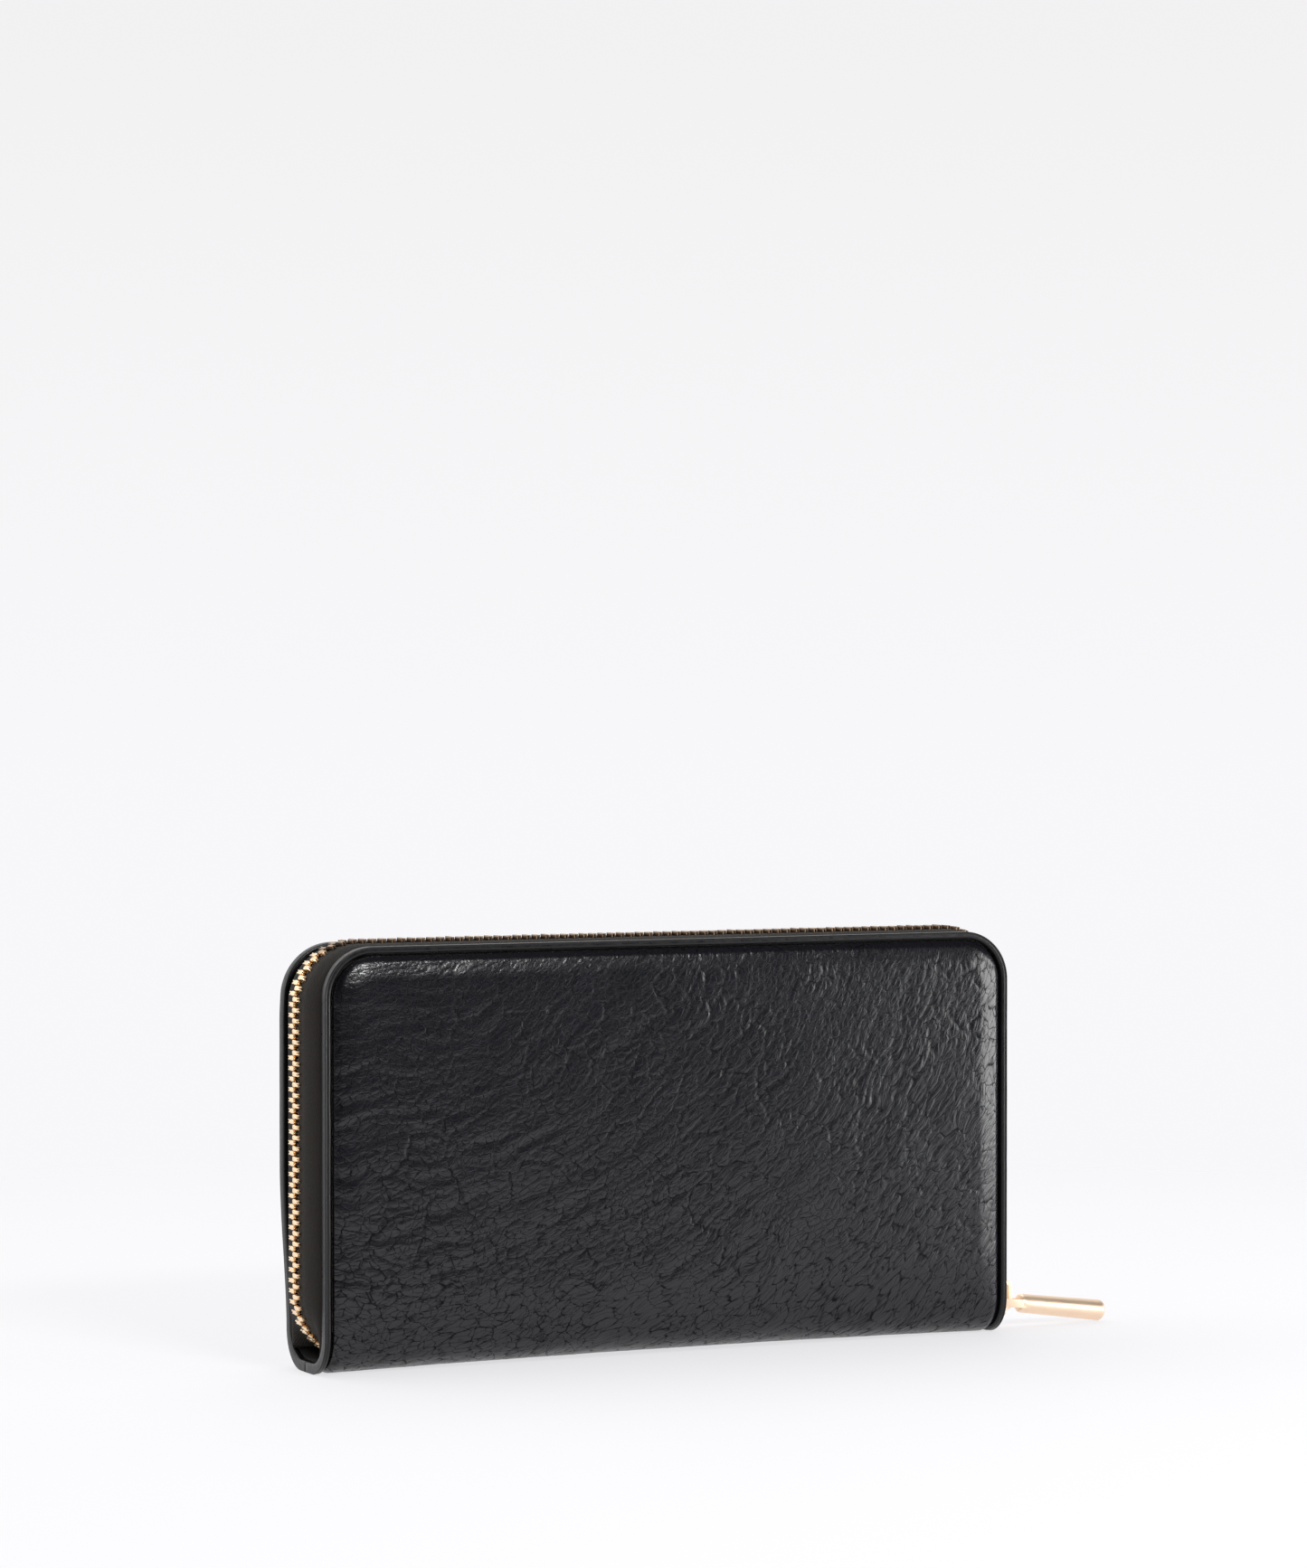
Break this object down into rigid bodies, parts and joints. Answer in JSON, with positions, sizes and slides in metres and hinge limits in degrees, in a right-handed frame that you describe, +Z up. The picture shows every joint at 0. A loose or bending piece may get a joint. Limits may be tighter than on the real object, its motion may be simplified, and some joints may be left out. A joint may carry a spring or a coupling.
{
  "type": "zip around wallet",
  "caption": "Long zip-around wallet that stands on its spine, with a metal zip round its open edges, a bar pull, card slots, bill compartments and a zipped coin pocket.",
  "frame": {"origin": "middle of the flat base of the spine, where the closed wallet stands", "axes": "+X along the width towards the end where the zip pull rests, +Y towards the back cover, +Z up from the spine to the zipped top edge"},
  "size_m": [0.2299, 0.026, 0.106],
  "materials": {
    "outer_leather": "pebbled full-grain leather, near black, soft satin",
    "binding_leather": "smooth leather strip with painted edges",
    "stiffener_board": "pressed board",
    "lining": "thin smooth lining leather",
    "gusset_fabric": "fine ribbed lining cloth",
    "zip_tape": "woven herringbone zip tape",
    "zip_metal": "rose-gold plated, satin",
    "polished_metal": "rose-gold plated, polished",
    "pocket_leather": "smooth pocket leather with creased edges",
    "coin_fabric": "fine twill lining cloth"
  },
  "bodies": {
    "spine": {"spine_leather": "outer_leather", "spine_board": "stiffener_board", "spine_lining": "lining", "spine_binding": "binding_leather", "left_end_tape": "zip_tape", "left_end_teeth": "zip_metal", "right_end_tape": "zip_tape", "right_end_teeth": "zip_metal", "zip_stops": "zip_metal", "coin_front_wall": "coin_fabric", "coin_back_wall": "coin_fabric", "coin_edge_strip": "coin_fabric", "coin_front_tape": "zip_tape", "coin_back_tape": "zip_tape", "coin_front_teeth": "zip_metal", "coin_back_teeth": "zip_metal", "coin_zip_stops": "zip_metal", "left_front_gusset": "gusset_fabric", "left_back_gusset": "gusset_fabric", "right_front_gusset": "gusset_fabric", "right_back_gusset": "gusset_fabric"},
    "front_cover": {"front_leather": "outer_leather", "front_board": "stiffener_board", "front_lining": "lining", "front_binding": "binding_leather", "front_zip_tape": "zip_tape", "front_zip_teeth": "zip_metal", "front_slip_pocket": "pocket_leather", "front_card_slot_1": "pocket_leather", "front_card_slot_2": "pocket_leather", "front_card_slot_3": "pocket_leather", "front_card_slot_4": "pocket_leather"},
    "back_cover": {"back_leather": "outer_leather", "back_board": "stiffener_board", "back_lining": "lining", "back_binding": "binding_leather", "back_zip_tape": "zip_tape", "back_zip_teeth": "zip_metal", "back_slip_pocket": "pocket_leather", "back_card_slot_1": "pocket_leather", "back_card_slot_2": "pocket_leather", "back_card_slot_3": "pocket_leather", "back_card_slot_4": "pocket_leather"},
    "zip_slider": {"zip_slider_body": "polished_metal", "zip_slider_crown": "polished_metal"},
    "zip_pull_body": {"zip_pull": "polished_metal"},
    "coin_slider": {"coin_slider_body": "polished_metal", "coin_slider_crown": "polished_metal"},
    "coin_pull_body": {"coin_pull": "polished_metal"}
  },
  "joints": [
    {"name": "front_cover_hinge", "type": "hinge", "parent": "spine", "child": "front_cover", "pos_m": [0, -0.013, 0.011], "axis": [1, 0, 0], "range_deg": [0, 26], "deforming": ["left_front_gusset", "right_front_gusset"]},
    {"name": "back_cover_hinge", "type": "hinge", "parent": "spine", "child": "back_cover", "pos_m": [0, 0.013, 0.011], "axis": [-1, 0, 0], "range_deg": [0, 26], "deforming": ["left_back_gusset", "right_back_gusset"]},
    {"name": "zip_slide", "type": "slide", "parent": "spine", "child": "zip_slider", "axis": [0, 0, 1], "range_m": [0, 0.07], "deforming": ["front_zip_tape", "front_zip_teeth", "back_zip_tape", "back_zip_teeth", "left_end_tape", "left_end_teeth", "right_end_tape", "right_end_teeth"]},
    {"name": "zip_pull_swing", "type": "hinge", "parent": "zip_slider", "child": "zip_pull_body", "pos_m": [0.1008, 0, 0.0067], "axis": [0, 1, 0], "range_deg": [-50, 80]},
    {"name": "coin_zip_slide", "type": "slide", "parent": "spine", "child": "coin_slider", "axis": [-1, 0, 0], "range_m": [0, 0.138], "deforming": ["coin_front_tape", "coin_back_tape", "coin_front_teeth", "coin_back_teeth"]},
    {"name": "coin_pull_swing", "type": "hinge", "parent": "coin_slider", "child": "coin_pull_body", "pos_m": [0.07368, 0, 0.08374], "axis": [0, 1, 0], "range_deg": [-120, 0]}
  ]
}
